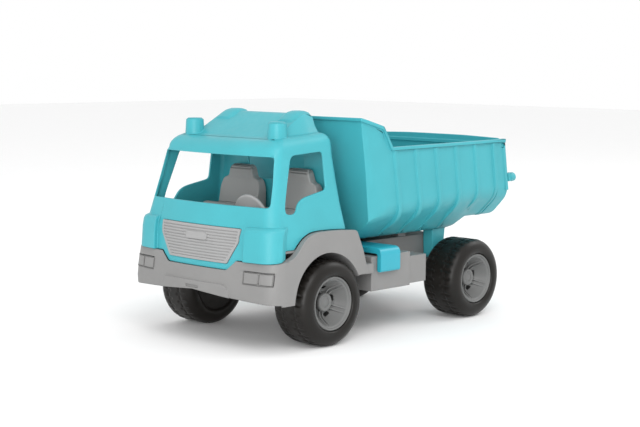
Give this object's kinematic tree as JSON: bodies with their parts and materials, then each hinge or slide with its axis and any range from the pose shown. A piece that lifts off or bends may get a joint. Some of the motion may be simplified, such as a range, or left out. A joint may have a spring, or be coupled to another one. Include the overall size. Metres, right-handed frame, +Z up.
{
  "type": "push along tipper truck",
  "caption": "Moulded plastic toy tipper truck with a tipping dump bed, hinged tailgate, side lifting lever and free-rolling wheels.",
  "frame": {"origin": "on the ground, under the middle of the bounding box", "axes": "+X to the front of the truck, +Y to the truck's left, +Z up"},
  "size_m": [0.399, 0.2168, 0.2302],
  "materials": {
    "turquoise": "satin moulded polypropylene",
    "bright_blue": "satin moulded polypropylene",
    "grey": "satin moulded polypropylene",
    "light_grey": "satin moulded polypropylene",
    "hub_grey": "satin moulded polypropylene",
    "tyre_black": "satin blow-moulded plastic tyre",
    "steel": "zinc plated"
  },
  "bodies": {
    "truck_body": {"chassis": "grey", "cab_shell": "turquoise", "grille": "light_grey", "interior_tray": "grey", "lever_pin": "steel", "bed_pivot_rod": "steel", "pivot_cap_left": "grey", "pivot_cap_right": "grey", "front_axle": "steel", "rear_axle": "steel", "push_nut_front_left": "steel", "push_nut_front_right": "steel", "push_nut_rear_left": "steel", "push_nut_rear_right": "steel", "cab_screw_1": "steel", "cab_screw_2": "steel", "cab_screw_3": "steel", "cab_screw_4": "steel"},
    "bed": {"dump_bed": "turquoise"},
    "tailgate": {"tailgate": "turquoise"},
    "lever": {"tip_lever": "bright_blue"},
    "steering": {"steering_wheel": "grey"},
    "wheel_front_left": {"tyre_front_left": "tyre_black", "hub_front_left": "hub_grey", "hub_cap_front_left": "hub_grey"},
    "wheel_front_right": {"tyre_front_right": "tyre_black", "hub_front_right": "hub_grey", "hub_cap_front_right": "hub_grey"},
    "wheel_rear_left": {"tyre_rear_left": "tyre_black", "hub_rear_left": "hub_grey", "hub_cap_rear_left": "hub_grey"},
    "wheel_rear_right": {"tyre_rear_right": "tyre_black", "hub_rear_right": "hub_grey", "hub_cap_rear_right": "hub_grey"}
  },
  "joints": [
    {"name": "wheel_front_left_spin", "type": "hinge", "parent": "truck_body", "child": "wheel_front_left", "pos_m": [0.108, 0, 0.043], "axis": [0, 1, 0], "continuous": true},
    {"name": "wheel_front_right_spin", "type": "hinge", "parent": "truck_body", "child": "wheel_front_right", "pos_m": [0.108, 0, 0.043], "axis": [0, 1, 0], "continuous": true},
    {"name": "wheel_rear_left_spin", "type": "hinge", "parent": "truck_body", "child": "wheel_rear_left", "pos_m": [-0.122, 0, 0.043], "axis": [0, 1, 0], "continuous": true},
    {"name": "wheel_rear_right_spin", "type": "hinge", "parent": "truck_body", "child": "wheel_rear_right", "pos_m": [-0.122, 0, 0.043], "axis": [0, 1, 0], "continuous": true},
    {"name": "bed_tip", "type": "hinge", "parent": "truck_body", "child": "bed", "pos_m": [-0.1157, 0, 0.071], "axis": [0, -1, 0], "range_deg": [0, 36]},
    {"name": "tailgate_swing", "type": "hinge", "parent": "bed", "child": "tailgate", "pos_m": [-0.1766, 0, 0.1866], "axis": [0, 1, 0], "range_deg": [0, 65]},
    {"name": "lever_lift", "type": "hinge", "parent": "truck_body", "child": "lever", "pos_m": [0.0185, -0.0645, 0.0876], "axis": [1, 0, 0], "range_deg": [0, 38]},
    {"name": "steering_spin", "type": "hinge", "parent": "truck_body", "child": "steering", "pos_m": [0.1574, 0.041, 0.1265], "axis": [-0.9781, 0, 0.2079], "continuous": true}
  ],
  "couplings": [
    {"joint": "lever_lift", "follows": "bed_tip", "ratio": 1.05}
  ]
}
